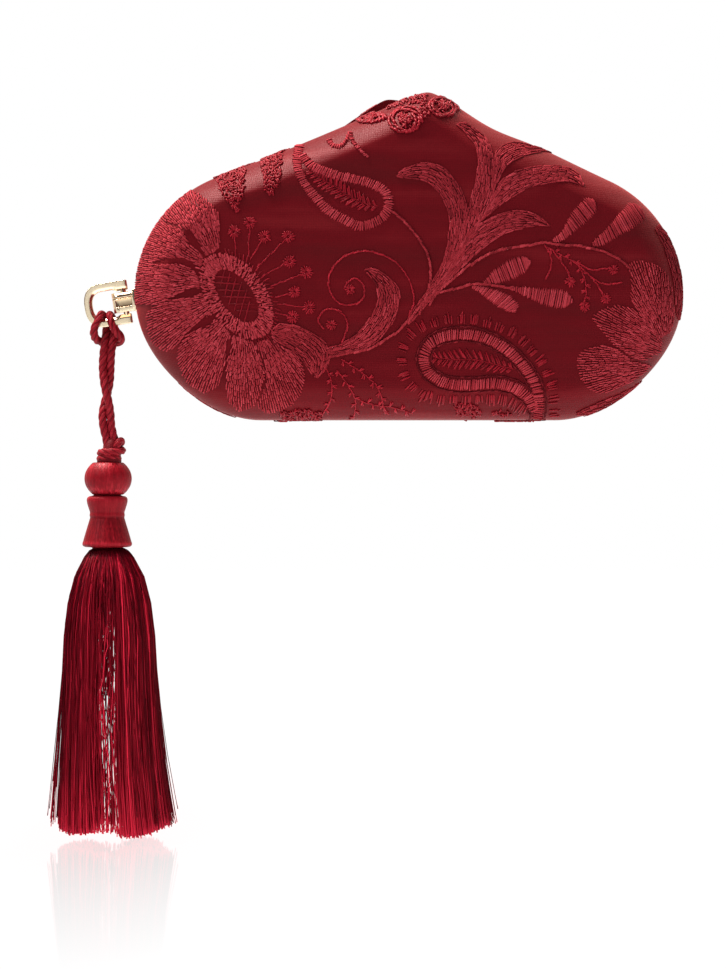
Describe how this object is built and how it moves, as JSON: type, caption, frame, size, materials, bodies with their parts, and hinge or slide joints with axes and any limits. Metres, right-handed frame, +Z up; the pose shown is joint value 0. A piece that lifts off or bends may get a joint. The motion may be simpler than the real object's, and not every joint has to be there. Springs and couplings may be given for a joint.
{
  "type": "clutch bag",
  "caption": "Hard-sided evening clutch in embroidered red satin with a low peaked top, hinged along the base, and a gold side shackle that carries a long thread tassel.",
  "frame": {"origin": "middle of the flat base, on the seam plane between the two shells, where the bag is carried", "axes": "+X to the right as the front is seen, along the bag's length; +Z up from the base to the peak; the front faces -Y"},
  "size_m": [0.2419, 0.055, 0.2869],
  "materials": {
    "satin": "satin under net, with crewel embroidery",
    "gold": "polished pale gold plate",
    "thread": "lustrous thread"
  },
  "bodies": {
    "back": {"back_shell": "satin", "hinge_rod": "satin", "clasp_block": "gold"},
    "front": {"front_shell": "satin"},
    "shackle": {"d_shackle": "gold", "tassel_cord": "thread", "cord_knot": "thread", "tassel_ball": "thread", "tassel_waist": "thread", "tassel_skirt": "thread"}
  },
  "joints": [
    {"name": "front_open", "type": "hinge", "parent": "back", "child": "front", "pos_m": [0, 0, 0.0014], "axis": [1, 0, 0], "range_deg": [0, 70]},
    {"name": "shackle_swing", "type": "hinge", "parent": "back", "child": "shackle", "pos_m": [-0.1101, 0.0049, 0.0459], "axis": [-0.1564, 0, 0.9877], "range_deg": [-60, 60]}
  ]
}
